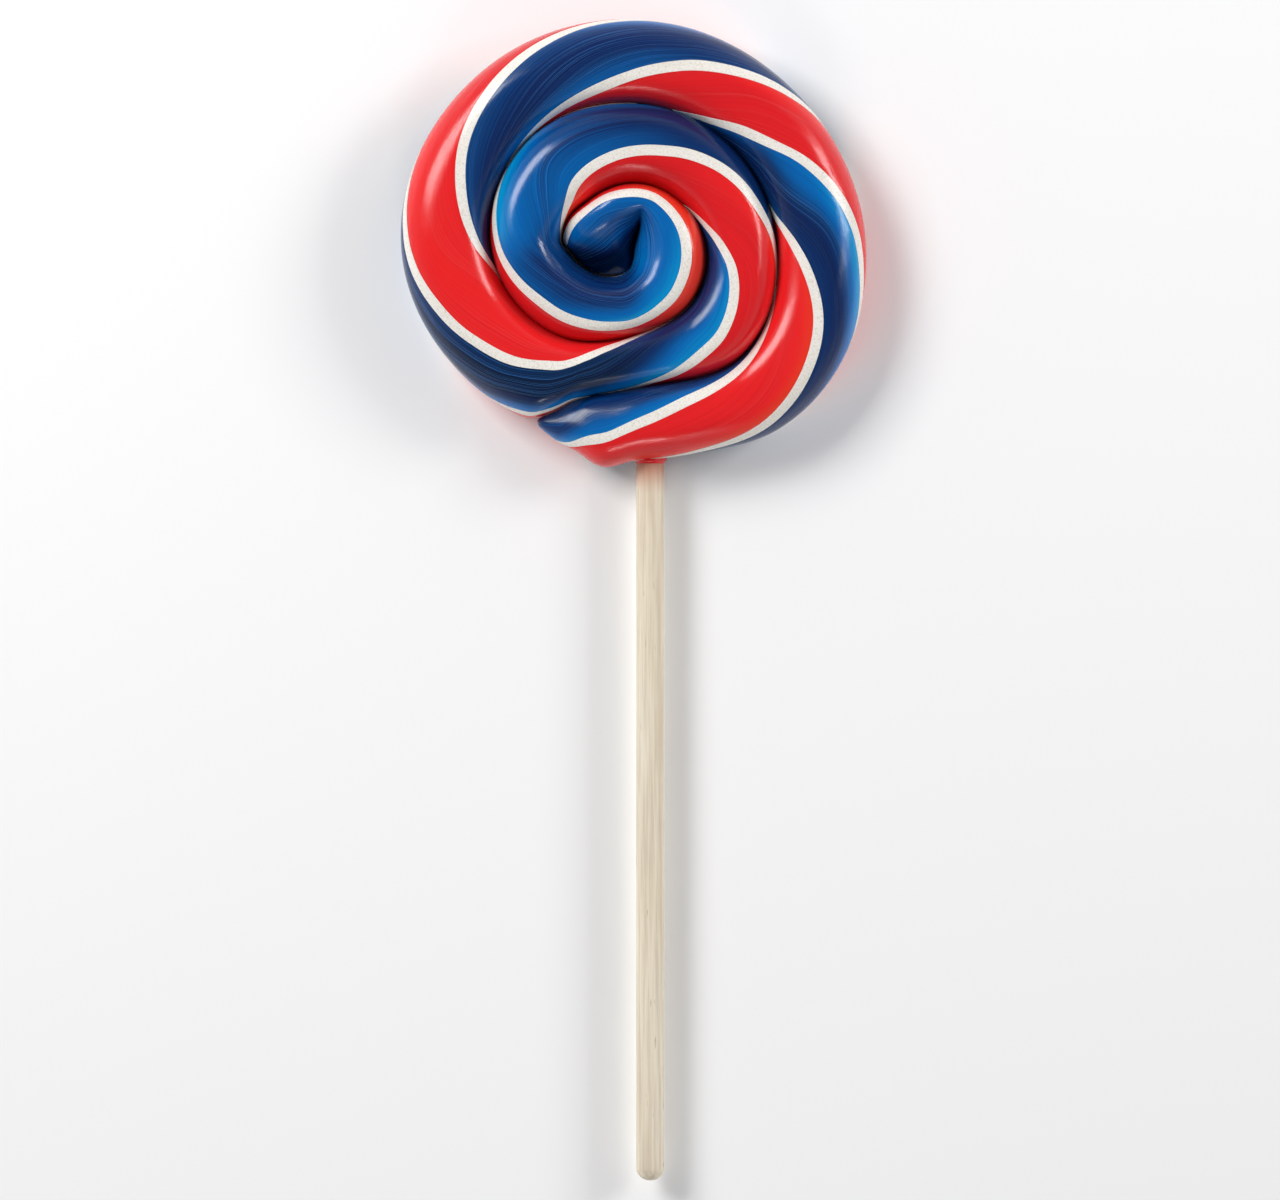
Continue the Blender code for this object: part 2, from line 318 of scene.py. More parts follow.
class NodeBoard:
    """A node tree with short calls for adding and joining nodes."""

    def __init__(self, tree: bpy.types.NodeTree) -> None:
        """Takes the tree that the nodes go into."""
        self.tree = tree

    def add(self, kind: str, inputs: dict | None = None, **settings: object) -> bpy.types.Node:
        """Adds a node.

        Args:
            kind: the node's type name, without its ShaderNode prefix.
            inputs: a value or an output socket for each named or numbered input.
            settings: the node's own settings.

        Returns:
            The new node.
        """
        prefix = "" if kind.startswith("NodeGroup") else "ShaderNode"
        node = self.tree.nodes.new(prefix + kind)
        for name, value in settings.items():
            setattr(node, name, value)
        for name, value in (inputs or {}).items():
            self.feed(node.inputs[name], value)
        return node

    def feed(self, socket: bpy.types.NodeSocket, value: object) -> None:
        """Links an output to a socket, or sets the socket's own value.

        Args:
            socket: the input that is fed.
            value: an output socket, or a plain value.
        """
        if isinstance(value, bpy.types.NodeSocket):
            self.tree.links.new(value, socket)
        else:
            socket.default_value = value

    def maths(self, operation: str, first: object, second: object = 0.0) -> bpy.types.NodeSocket:
        """Adds a Math node and gives its result."""
        node = self.add("Math", {0: first, 1: second}, operation=operation)
        return node.outputs[0]

    def spread(self, value: object, low: float, high: float, start: float = 0.0,
               end: float = 1.0) -> bpy.types.NodeSocket:
        """Maps a value's range from low and high onto start and end, with a soft rise.

        Args:
            value: the value or output that is mapped.
            low: where the rise starts.
            high: where it ends.
            start: the result up to low.
            end: the result from high on.

        Returns:
            The mapped value.
        """
        inputs = {"Value": value, "From Min": low, "From Max": high, "To Min": start, "To Max": end}
        node = self.add("MapRange", inputs, interpolation_type="SMOOTHSTEP")
        return node.outputs["Result"]

    def blend(self, share: object, first: object, second: object) -> bpy.types.NodeSocket:
        """Mixes two colours.

        Args:
            share: how much of the second colour shows.
            first: the first colour.
            second: the second colour.

        Returns:
            The mixed colour.
        """
        node = self.add("Mix", data_type="RGBA")
        self.feed(node.inputs[0], share)
        self.feed(node.inputs[6], first)
        self.feed(node.inputs[7], second)
        return node.outputs[2]

    def noise_at(self, place: object, detail: float, roughness: float,
                 scale: object = 1.0) -> bpy.types.NodeSocket:
        """Adds a noise texture.

        Args:
            place: the coordinates that it is read at.
            detail: how many finer layers it has.
            roughness: how strong the finer layers are.
            scale: how many times it is shrunk.

        Returns:
            The noise's value, about 0.5 in the middle.
        """
        inputs = {"Vector": place, "Scale": scale, "Detail": detail, "Roughness": roughness}
        return self.add("TexNoise", inputs).outputs[0]


def new_material(name: str) -> tuple[bpy.types.Material, NodeBoard, bpy.types.Node]:
    """Makes a material that holds a bare Principled shader.

    Args:
        name: the material's name.

    Returns:
        The material, its node board and its shader.
    """
    made = bpy.data.materials.new(name)
    made.use_nodes = True
    return made, NodeBoard(made.node_tree), made.node_tree.nodes["Principled BSDF"]


class PulledSugar:
    """The shared effect of pulled sugar: lengthwise streaks and a fine grain."""

    NAME = "pulled_sugar"
    INPUTS = (("Streaks Along", 5.0), ("Streaks Across", 30.0), ("Grain Size", 1.0 * MM))
    OUTPUTS = ("Streak", "Fine", "Scuff", "Drift", "Grain", "Height")
    FINE_ACROSS = 3.1
    DRIFT_ALONG = 0.35
    DRIFT_ACROSS = 0.12
    HEIGHT_SHARES = (0.6, 0.3, 0.1)

    @classmethod
    def tree(cls) -> bpy.types.NodeTree:
        """Builds the group the first time it is asked for.

        Returns:
            The group's node tree.
        """
        known = bpy.data.node_groups.get(cls.NAME)
        if known:
            return known
        tree = bpy.data.node_groups.new(cls.NAME, "ShaderNodeTree")
        for name, value in cls.INPUTS:
            socket = tree.interface.new_socket(name, in_out="INPUT", socket_type="NodeSocketFloat")
            socket.default_value = value
        for name in cls.OUTPUTS:
            tree.interface.new_socket(name, in_out="OUTPUT", socket_type="NodeSocketFloat")
        board = NodeBoard(tree)
        given = board.add("NodeGroupInput").outputs
        rope = board.add("SeparateXYZ", {0: board.add("UVMap", uv_map=ROPE_UV).outputs[0]}).outputs
        along = board.maths("MULTIPLY", rope["X"], given["Streaks Along"])
        across = board.maths("MULTIPLY", rope["Y"], given["Streaks Across"])
        place = board.add("CombineXYZ", {"X": along, "Y": across})
        streak = board.noise_at(place.outputs[0], detail=6.0, roughness=0.62)
        closer = board.maths("MULTIPLY", across, cls.FINE_ACROSS)
        close = board.add("CombineXYZ", {"X": along, "Y": closer})
        fine = board.noise_at(close.outputs[0], detail=3.0, roughness=0.6)
        slow = board.add("CombineXYZ", {"X": board.maths("MULTIPLY", along, cls.DRIFT_ALONG),
                                        "Y": board.maths("MULTIPLY", across, cls.DRIFT_ACROSS)})
        drift = board.noise_at(slow.outputs[0], detail=2.0, roughness=0.5)
        shrink = board.maths("DIVIDE", 1.0, given["Grain Size"])
        solid = board.add("TexCoord").outputs["Object"]
        grain = board.noise_at(solid, detail=3.0, roughness=0.6, scale=shrink)
        shares = [board.maths("MULTIPLY", layer, share)
                  for layer, share in zip((streak, fine, grain), cls.HEIGHT_SHARES)]
        height = board.maths("ADD", board.maths("ADD", shares[0], shares[1]), shares[2])
        scuff = board.maths("MULTIPLY", board.spread(fine, 0.52, 0.64), board.spread(drift, 0.42, 0.58))
        results = board.add("NodeGroupOutput")
        for name, value in zip(cls.OUTPUTS, (streak, fine, scuff, drift, grain, height)):
            board.feed(results.inputs[name], value)
        return tree

    @classmethod
    def place(cls, board: NodeBoard, along: float, across: float, grain: float) -> bpy.types.Node:
        """Puts the effect into a material.

        Args:
            board: the material's node board.
            along: how many streaks follow each other along 100 mm of rope.
            across: how many lie side by side across a strip.
            grain: the grain's size in metres.

        Returns:
            The group node.
        """
        node = board.add("Group")
        node.node_tree = cls.tree()
        for (name, _), value in zip(cls.INPUTS, (along, across, grain)):
            node.inputs[name].default_value = value
        return node


@dataclass(frozen=True)
class ClearCandy:
    """Coloured glassy candy: dark where it is thick, paler where it thins out over the white.

    The depth table gives how thick it lies along the rope: below 0 it is thin and pale, from 0 to
    0.5 it goes from bright to its body colour, at 1 it is deep and near 2 it is almost black. Painted
    shade low in the eye adds to the depth, and borders are painted paler where the white beside them
    faces the light, which is painted light.
    """

    name: str
    shade: tuple[float, float, float]
    deep: tuple[float, float, float]
    body: tuple[float, float, float]
    bright: tuple[float, float, float]
    thin: tuple[float, float, float]
    scuffed: tuple[float, float, float]
    scuffing: float
    unevenness: float
    depth: Table
    scatter: float
    scatter_colour: tuple[float, float, float]
    scatter_reach: float
    gloss: float
    slot: str
    streaks_along: float = 2.2
    streaks_across: float = 34.0
    grain: float = 0.6 * MM
    relief: float = 0.05 * MM
    relief_share: float = 0.6
    index: float = 1.5
    coat: float = 0.12
    coat_dullness: float = 0.08

    def material(self) -> bpy.types.Material:
        """Builds the candy's shader.

        Returns:
            The material.
        """
        made, board, shader = new_material(self.name)
        sugar = PulledSugar.place(board, self.streaks_along, self.streaks_across, self.grain).outputs
        drawn = board.spread(sugar["Streak"], 0.25, 0.75, -0.5, 0.5)
        clouds = board.spread(sugar["Drift"], 0.3, 0.7, -0.35, 0.35)
        uneven = board.maths("MULTIPLY", board.maths("ADD", drawn, clouds), self.unevenness)
        hair = board.spread(sugar["Fine"], 0.36, 0.64, 0.4, -0.4)
        uneven = board.maths("ADD", uneven, board.maths("MULTIPLY", hair, self.unevenness))
        # depth along the rope plus the painted shade low in the eye
        depth = board.add("Attribute", attribute_name=DEPTH_AND_PIT_SHADE).outputs["Fac"]
        depth = board.maths("ADD", depth, uneven)
        colour = board.blend(board.spread(depth, 0.0, 0.5), (*self.bright, 1.0), (*self.body, 1.0))
        colour = board.blend(board.spread(depth, 0.5, 1.0), colour, (*self.deep, 1.0))
        # near-black colour, reached by the deepest candy and by the painted shade low in the eye
        colour = board.blend(board.spread(depth, 1.1, 1.9), colour, (*self.shade, 1.0))
        colour = board.blend(board.spread(depth, 0.0, -0.9), colour, (*self.thin, 1.0))
        scuff = board.maths("MULTIPLY", sugar["Scuff"], self.scuffing)
        colour = board.blend(scuff, colour, (*self.scuffed, 1.0))
        # painted light: borders turn bright and thin-coloured as thin candy over white, more so where
        # the white beside them faces the key light
        edge = board.add("Attribute", attribute_name=GLOW).outputs["Fac"]
        ragged = board.maths("MULTIPLY", edge, board.spread(sugar["Streak"], 0.2, 0.6, 0.75, 1.0))
        colour = board.blend(board.spread(ragged, 0.0, 0.5), colour, (*self.bright, 1.0))
        colour = board.blend(board.spread(ragged, 0.4, 1.0), colour, (*self.thin, 1.0))
        board.feed(shader.inputs["Base Color"], colour)
        dull = board.maths("ADD", board.spread(sugar["Drift"], 0.35, 0.65, 0.10, 0.20),
                           board.spread(sugar["Streak"], 0.3, 0.7, 0.0, 0.08))
        board.feed(shader.inputs["Roughness"], dull)
        inputs = {"Strength": self.relief_share, "Distance": self.relief, "Height": sugar["Height"]}
        board.feed(shader.inputs["Normal"], board.add("Bump", inputs).outputs[0])
        shader.inputs["IOR"].default_value = self.index
        shader.inputs["Specular IOR Level"].default_value = self.gloss
        shader.inputs["Coat Weight"].default_value = self.coat
        shader.inputs["Coat Roughness"].default_value = self.coat_dullness
        shader.inputs["Subsurface Weight"].default_value = self.scatter
        shader.inputs["Subsurface Radius"].default_value = self.scatter_colour
        shader.inputs["Subsurface Scale"].default_value = self.scatter_reach
        return made


@dataclass(frozen=True)
class MilkyCandy:
    """Opaque cream-white candy, dull and finely speckled."""

    name: str = "milky_white_candy"
    body: tuple[float, float, float] = (0.88, 0.845, 0.785)
    shade: tuple[float, float, float] = (0.70, 0.65, 0.56)
    depth: Table = ((0, 0.0), (1020, 0.0))
    streaks_along: float = 30.0
    streaks_across: float = 14.0
    grain: float = 0.28 * MM
    relief: float = 0.04 * MM
    relief_share: float = 0.35
    coat: float = 0.15
    coat_dullness: float = 0.2
    scatter: float = 0.12
    scatter_colour: tuple[float, float, float] = (1.0, 0.85, 0.7)
    scatter_reach: float = 0.8 * MM
    slot: str = "white_candy"

    def material(self) -> bpy.types.Material:
        """Builds the candy's shader.

        Returns:
            The material.
        """
        made, board, shader = new_material(self.name)
        sugar = PulledSugar.place(board, self.streaks_along, self.streaks_across, self.grain).outputs
        speckle = board.spread(sugar["Grain"], 0.46, 0.70)
        colour = board.blend(speckle, (*self.body, 1.0), (*self.shade, 1.0))
        veil = board.spread(sugar["Drift"], 0.5, 0.8, 0.0, 0.35)
        colour = board.blend(veil, colour, (*self.shade, 1.0))
        board.feed(shader.inputs["Base Color"], colour)
        board.feed(shader.inputs["Roughness"], board.spread(sugar["Grain"], 0.3, 0.7, 0.32, 0.5))
        inputs = {"Strength": self.relief_share, "Distance": self.relief, "Height": sugar["Grain"]}
        board.feed(shader.inputs["Normal"], board.add("Bump", inputs).outputs[0])
        shader.inputs["Coat Weight"].default_value = self.coat
        shader.inputs["Coat Roughness"].default_value = self.coat_dullness
        shader.inputs["Subsurface Weight"].default_value = self.scatter
        shader.inputs["Subsurface Radius"].default_value = self.scatter_colour
        shader.inputs["Subsurface Scale"].default_value = self.scatter_reach
        return made


@dataclass(frozen=True)
class Birch:
    """Plain turned birch with fine fibres, painted red-brown where it goes into the candy: a painted
    reflection of the red candy.
    """

    name: str = "birch"
    pale: tuple[float, float, float] = (0.85, 0.77, 0.61)
    grey: tuple[float, float, float] = (0.66, 0.57, 0.44)
    warm: tuple[float, float, float] = (0.66, 0.50, 0.33)
    fleck: tuple[float, float, float] = (0.30, 0.19, 0.10)
    # painted reflection of the red candy on the wood near the head
    candy_reflection: tuple[float, float, float] = (0.45, 0.16, 0.09)
    candy_reflection_from: float = -45.5 * MM
    candy_reflection_to: float = -40.2 * MM
    fibre_scale: tuple[float, float, float] = (2200.0, 55.0, 2200.0)
    cloud_scale: tuple[float, float, float] = (260.0, 30.0, 260.0)
    fleck_scale: tuple[float, float, float] = (1500.0, 210.0, 1500.0)
    candy_reflection_share: float = 0.85
    flecked: float = 0.55
    relief: float = 0.06 * MM
    relief_share: float = 0.5
    slot: str = "wood"

    def material(self) -> bpy.types.Material:
        """Builds the wood's shader.

        Returns:
            The material.
        """
        made, board, shader = new_material(self.name)
        place = board.add("TexCoord").outputs["Object"]
        fibre_at = board.add("Mapping", {"Vector": place, "Scale": self.fibre_scale})
        fibre = board.noise_at(fibre_at.outputs[0], detail=5.0, roughness=0.65)
        cloud_at = board.add("Mapping", {"Vector": place, "Scale": self.cloud_scale})
        cloud = board.noise_at(cloud_at.outputs[0], detail=3.0, roughness=0.5)
        fleck_at = board.add("Mapping", {"Vector": place, "Scale": self.fleck_scale})
        dots = board.noise_at(fleck_at.outputs[0], detail=2.0, roughness=0.5)
        fleck = board.spread(dots, 0.68, 0.76, 0.0, self.flecked)
        colour = board.blend(board.spread(fibre, 0.35, 0.7), (*self.pale, 1.0), (*self.grey, 1.0))
        warmed = board.spread(cloud, 0.4, 0.75, 0.0, 0.35)
        colour = board.blend(warmed, colour, (*self.warm, 1.0))
        colour = board.blend(fleck, colour, (*self.fleck, 1.0))
        # painted reflection: the wood turns red-brown towards the candy
        height = board.add("SeparateXYZ", {0: place}).outputs["Y"]
        candy_reflection = board.spread(height, self.candy_reflection_from, self.candy_reflection_to, 0.0, self.candy_reflection_share)
        colour = board.blend(candy_reflection, colour, (*self.candy_reflection, 1.0))
        board.feed(shader.inputs["Base Color"], colour)
        board.feed(shader.inputs["Roughness"], board.spread(fibre, 0.3, 0.7, 0.5, 0.68))
        inputs = {"Strength": self.relief_share, "Distance": self.relief, "Height": fibre}
        board.feed(shader.inputs["Normal"], board.add("Bump", inputs).outputs[0])
        return made


class StripColour(Enum):
    """The two colours of candy between the white lines."""

    RED = ClearCandy(
        name="clear_red_candy",
        shade=(0.25, 0.006, 0.008),
        deep=(0.52, 0.010, 0.014),
        body=(0.70, 0.012, 0.017),
        bright=(0.83, 0.017, 0.019),
        thin=(0.88, 0.045, 0.020),
        scuffed=(0.90, 0.10, 0.09),
        scuffing=0.3,
        unevenness=0.3,
        depth=((0, 0.5), (60, 0.2), (120, -0.8), (240, -0.7), (290, 0.4), (450, 0.9), (530, 0.4),
               (620, 0.6), (690, 0.1), (740, 0.1), (800, 0.7), (850, 0.45), (930, 0.2),
               (980, 0.3), (1020, 0.3)),
        scatter=0.2,
        scatter_colour=(1.0, 0.10, 0.06),
        scatter_reach=1.5 * MM,
        gloss=0.36,
        slot="red_candy",
    )
    BLUE = ClearCandy(
        name="clear_blue_candy",
        shade=(0.002, 0.006, 0.022),
        deep=(0.004, 0.017, 0.092),
        body=(0.002, 0.053, 0.205),
        bright=(0.001, 0.125, 0.420),
        thin=(0.002, 0.330, 0.680),
        scuffed=(0.05, 0.22, 0.60),
        scuffing=0.5,
        unevenness=0.6,
        depth=((0, 0.0), (60, 0.3), (130, 0.15), (180, -0.1), (220, -0.1), (270, 0.95),
               (330, 0.85), (375, 0.6), (402, 0.6), (430, 0.9), (450, 1.2), (540, 1.1),
               (600, 0.95), (650, 1.75), (720, 1.2), (765, 1.1), (820, 1.0), (880, 1.2),
               (950, 1.3), (990, 1.05), (1005, 0.85), (1020, 0.8)),
        scatter=0.12,
        scatter_colour=(0.06, 0.3, 1.0),
        scatter_reach=1.2 * MM,
        gloss=0.32,
        slot="blue_candy",
    )


@dataclass(frozen=True)
class PaleFloor:
    """A plain pale studio sweep."""

    name: str = "pale_sweep"
    colour: tuple[float, float, float] = (0.95, 0.95, 0.95)
    dullness: float = 0.85

    def material(self) -> bpy.types.Material:
        """Builds the sweep's shader.

        Returns:
            The material.
        """
        made, _, shader = new_material(self.name)
        shader.inputs["Base Color"].default_value = (*self.colour, 1.0)
        shader.inputs["Roughness"].default_value = self.dullness
        return made


def finished(bm: bmesh.types.BMesh, name: str, material: bpy.types.Material,
             sharp: float = 40.0) -> bpy.types.Object:
    """Turns a bmesh into a shaded object at the origin and frees it.

    Args:
        bm: the shape, with its place already in its points.
        name: the piece's name.
        material: its one material.
        sharp: edges that bend more than this many degrees stay crisp.

    Returns:
        The piece.
    """
    bmesh.ops.recalc_face_normals(bm, faces=bm.faces)
    mesh = bpy.data.meshes.new(name)
    bm.to_mesh(mesh)
    bm.free()
    mesh.shade_smooth()
    mesh.set_sharp_from_angle(angle=math.radians(sharp))
    mesh.materials.append(material)
    piece = bpy.data.objects.new(name, mesh)
    bpy.context.scene.collection.objects.link(piece)
    return piece


@dataclass(frozen=True)
class Corner:
    """One corner of a profile that is run along the rope."""

    degrees: float
    inset: float
    across: float


@dataclass
class CandyHead:
    """The coiled rope: a white body whose ribs show as lines, and four coloured strips."""

    coil: Coil = field(default_factory=Coil)
    rings: int = 640
    quick_rings: int = 300
    rib_half_width: float = 0.84 * MM
    rib_wander: float = 0.12
    rib_limit: int = 24
    rib_wander_length: float = 9.0 * MM
    rib_seed_step: float = 7.3
    rib_seed: float = 1.7
    rib_steps: int = 6
    tuck: float = 1.2
    strip_steps: int = 24
    strip_depth: float = 0.11
    edge_ease: float = 3.0
    edge_inset: float = 0.006
    body_inset: float = 0.05
    ridge: float = 0.0035
    ridge_width: float = 7.0
    ridge_length: float = 60.0
    ridge_seed: float = 4.1
    tip_shrink: float = 0.55
    glow_reach: float = 0.27
    glow_base: float = 0.25
    # painted highlights and thin-candy paleness: the pale border is wider at 368 to 400, 560 to 640 and
    # 880 to 960, and stronger at 368 to 400, where it stands in for highlights beside the white lines
    outer_reach: Table = (
        (0, 0.27), (235, 0.27), (262, 0.18), (335, 0.18), (368, 0.46), (400, 0.46), (425, 0.27),
        (530, 0.27), (560, 0.34), (640, 0.34), (670, 0.27), (850, 0.27), (880, 0.34), (960, 0.34),
        (985, 0.27), (1020, 0.27),
    )
    outer_base: Table = (
        (0, 0.3), (60, 0.25), (345, 0.25), (368, 0.8), (400, 0.8), (425, 0.25), (1020, 0.25),
    )
    glow_lit: float = 0.75
    glow_inner: float = 0.42
    # the key light's direction, used only to paint the lit borders paler
    light_from: Vector = field(default_factory=lambda: Vector((-0.62, 0.49, 0.61)))
    pit_shade: float = 1.6
    pit_shade_from: float = 10.6 * MM
    pit_shade_to: float = 7.4 * MM
    stub_end: float = 75.0
    stub_fade: float = 30.0
    strips: tuple[tuple[str, int, StripColour], ...] = (
        ("red_strip_1", 1, StripColour.RED),
        ("blue_strip_1", 2, StripColour.BLUE),
        ("red_strip_2", 3, StripColour.RED),
        ("blue_strip_2", 4, StripColour.BLUE),
    )
    turns: list[float] = field(init=False)
    sections: list[Section] = field(init=False)
    reach: list[float] = field(init=False)
    rib_edges: dict[tuple[int, int, int], float] = field(default_factory=dict)

    def __post_init__(self) -> None:
        """Cuts the rope into its sections and measures how far along each one lies."""
        count = self.rings
        self.turns = self.coil.stations(count)
        self.sections = [self.coil.section(turn) for turn in self.turns]
        self.reach = [0.0]
        for before, after in zip(self.sections, self.sections[1:]):
            self.reach.append(self.reach[-1] + (after.middle - before.middle).length)

    def rib_edge(self, ring: int, line: int, side: int) -> float:
        """Finds a white line's edge by measuring its half width along the surface.

        Args:
            ring: the section's number.
            line: the line's number.
            side: 1 for the edge at the higher angle, -1 for the other.

        Returns:
            The angle round the section from the line's middle to its edge, in degrees.
        """
        key = (ring, line % 4, side)
        if key not in self.rib_edges:
            section, middle = self.sections[ring], self.coil.line_angle(self.turns[ring], line)
            along = self.reach[ring] / self.rib_wander_length
            place = Vector((along, (line % 4) * self.rib_seed_step + side, self.rib_seed))
            left = self.rib_half_width * (1 + self.rib_wander * noise.noise(place))
            degrees, before = 0.0, section.point(middle)
            while degrees < self.rib_limit and left > 0:
                after = section.point(middle + side * (degrees + 1))
                stride = (after - before).length
                degrees += min(left / stride, 1.0)
                left -= stride
                before = after
            self.rib_edges[key] = degrees
        return self.rib_edges[key]

    def ridge_at(self, ring: int, degrees: float) -> float:
        """Gives the low lengthwise ridges that pulling leaves.

        Args:
            ring: the section's number.
            degrees: the angle round the section.

        Returns:
            The ridge's height there, as a share of the rope's half width.
        """
        along = self.reach[ring] / MM / self.ridge_length
        place = Vector((along, degrees / self.ridge_width, self.ridge_seed))
        return self.ridge * noise.noise(place)

    def tip_inset(self, turn: float) -> float:
        """Gives how far the section shrinks as the rope's two ends round off.

        Args:
            turn: the section's place along the rope.

        Returns:
            The share of its size that the section loses.
        """
        from_end = min(self.coil.last_turn - turn, (turn - self.coil.first_turn) / 2)
        share = min(from_end / self.coil.tip_length, 1.0)
        return self.tip_shrink * (1 - math.sqrt(1 - (1 - share) ** 2))

    def run(self, profile: Callable[[int], list[Corner]], depth: Table,
            name: str) -> bmesh.types.BMesh:
        """Runs a closed profile along the rope as one skinned tube.

        Args:
            profile: gives the corners for a section, always as many.
            depth: how thick the colour lies along the rope.
            name: the piece's name, for the log.

        Returns:
            The closed tube.
        """
        corners = [profile(i) for i in range(len(self.turns))]
        columns, rows = len(corners[0]), len(self.turns) - 1
        bm = bmesh.new()
        bmesh.ops.create_grid(bm, x_segments=columns, y_segments=rows, size=1.0)
        uv = bm.loops.layers.uv.new(ROPE_UV)
        glow = bm.verts.layers.float.new(GLOW)
        deep = bm.verts.layers.float.new(DEPTH_AND_PIT_SHADE)
        places: dict[bmesh.types.BMVert, tuple[int, int]] = {}
        for vert in bm.verts:
            column = round((vert.co.x + 1) / 2 * columns)
            row = round((vert.co.y + 1) / 2 * rows)
            places[vert] = (column, row)
        for vert, (column, row) in places.items():
            corner = corners[row][column % columns]
            section = self.sections[row]
            inset = corner.inset + self.tip_inset(self.turns[row])
            inset -= self.ridge_at(row, corner.degrees)
            vert.co = section.point(corner.degrees, inset)
            # painted light: the border paleness of thin candy, stronger where the white beside it faces
            # the key light
            vert[glow] = self.thin_edge_and_painted_light(corner, section, self.turns[row])
            # the colour's depth along the rope plus the painted shade low in the eye
            vert[deep] = eased(depth, self.turns[row]) + self.painted_pit_shade(vert.co.z, self.turns[row])
        for face in bm.faces:
            wraps = max(places[vert][0] for vert in face.verts) == columns
            for loop in face.loops:
                column, row = places[loop.vert]
                corner = corners[row][column % columns]
                turned = corner.across if column < columns or not wraps else 1.0
                loop[uv].uv = (self.reach[row] / UV_SPAN, turned)
        seam = [vert for vert, (column, _) in places.items() if column in (0, columns)]
        bmesh.ops.remove_doubles(bm, verts=seam, dist=WELD)
        rims = [edge for edge in bm.edges if edge.is_boundary]
        caps = bmesh.ops.holes_fill(bm, edges=rims, sides=0)["faces"]
        bmesh.ops.poke(bm, faces=caps)
        log.info("%s: %d faces", name, len(bm.faces))
        return bm

    def painted_pit_shade(self, height: float, turn: float) -> float:
        """Gives the painted shade that darkens the colour low in the eye, where little light comes in.
        """
        low = 1 - ramp(height, self.pit_shade_to, self.pit_shade_from)
        return self.pit_shade * low * (1 - ramp(turn, self.stub_end, self.stub_end + self.stub_fade))

    def thin_edge_and_painted_light(self, corner: Corner, section: Section, turn: float) -> float:
        """Gives how pale a strip is painted at a corner: thin candy over the white, plus painted light
        where the white wall beside it faces the key light.

        Args:
            corner: the corner of the strip's profile.
            section: the rope's section there.
            turn: the section's place along the rope.

        Returns:
            0 in the strip's thick middle, up to 1 at a border whose white wall faces the light, which is
            painted light.
        """
        before, after = section.point(corner.degrees - 1.0), section.point(corner.degrees + 1.0)
        lit = (after - before).normalized().dot(self.light_from)
        outer = math.exp(-((corner.across / eased(self.outer_reach, turn)) ** 2))
        outer *= eased(self.outer_base, turn) + self.glow_lit * max(lit, 0.0)
        inner = math.exp(-(((1 - corner.across) / self.glow_reach) ** 2)) * self.glow_inner
        inner *= self.glow_base + self.glow_lit * max(-lit, 0.0)
        return min(outer + inner, 1.0)

    def strip_profile(self, line: int) -> Callable[[int], list[Corner]]:
        """Gives the profile of the strip that starts at a white line.

        Args:
            line: the line at the strip's outer border.

        Returns:
            A function from a section's number to its corners.
        """
        def corners(ring: int) -> list[Corner]:
            """Gives the strip's corners at a section: its face first, then its back."""
            turn = self.turns[ring]
            zero = self.coil.line_angle(turn, line)
            low = self.rib_edge(ring, line, 1)
            high = self.coil.line_spacing - self.rib_edge(ring, line - 1, -1)
            found: list[Corner] = []
            for i in range(self.strip_steps + 1):
                share = i / self.strip_steps
                degrees = low + (high - low) * share
                near = min(degrees - low, high - degrees) / self.edge_ease
                inset = self.edge_inset * max(1 - near, 0.0) ** 2
                found.append(Corner(zero + degrees, inset, share))
            for share in (1.0, 0.5, 0.0):
                degrees = low + (high - low) * share
                found.append(Corner(zero + degrees, self.strip_depth, share))
            return found

        return corners

    def body_profile(self) -> Callable[[int], list[Corner]]:
        """Gives the white body's profile: flush at its ribs and tucked in below the strips.

        Returns:
            A function from a section's number to its corners.
        """
        def corners(ring: int) -> list[Corner]:
            """Gives the body's corners at a section: a rib and the floor beside it, four times."""
            turn = self.turns[ring]
            found: list[Corner] = []
            for line in (4, 3, 2, 1):
                zero = self.coil.line_angle(turn, line)
                low, half = self.rib_edge(ring, line, -1), self.rib_edge(ring, line, 1)
                for i in range(self.rib_steps + 1):
                    degrees = (low + half) * i / self.rib_steps - low
                    across = (degrees / self.coil.line_spacing) % 1.0
                    found.append(Corner(zero + degrees, 0.0, across))
                far = self.coil.line_spacing - self.rib_edge(ring, line - 1, -1)
                for i in range(self.rib_steps + 1):
                    degrees = half + self.tuck + (far - half - 2 * self.tuck) * i / self.rib_steps
                    across = degrees / self.coil.line_spacing
                    found.append(Corner(zero + degrees, self.body_inset, across))
            return found

        return corners

    def build(self, finishes: dict[StripColour, bpy.types.Material]) -> list[bpy.types.Object]:
        """Makes the white body and the strips, each in the place of its solid.

        Args:
            finishes: the material of each colour.

        Returns:
            The five pieces.
        """
        white = MilkyCandy()
        shape = self.run(self.body_profile(), white.depth, "white_body")
        body = finished(shape, "white_body", white.material())
        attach(body, BODY)
        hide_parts("candy_core")
        made = [body]
        for node, line, colour in self.strips:
            shape = self.run(self.strip_profile(line), colour.value.depth, node)
            piece = finished(shape, f"{node}_glossy", finishes[colour])
            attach(piece, BODY)
            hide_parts(node)
            made.append(piece)
        return made


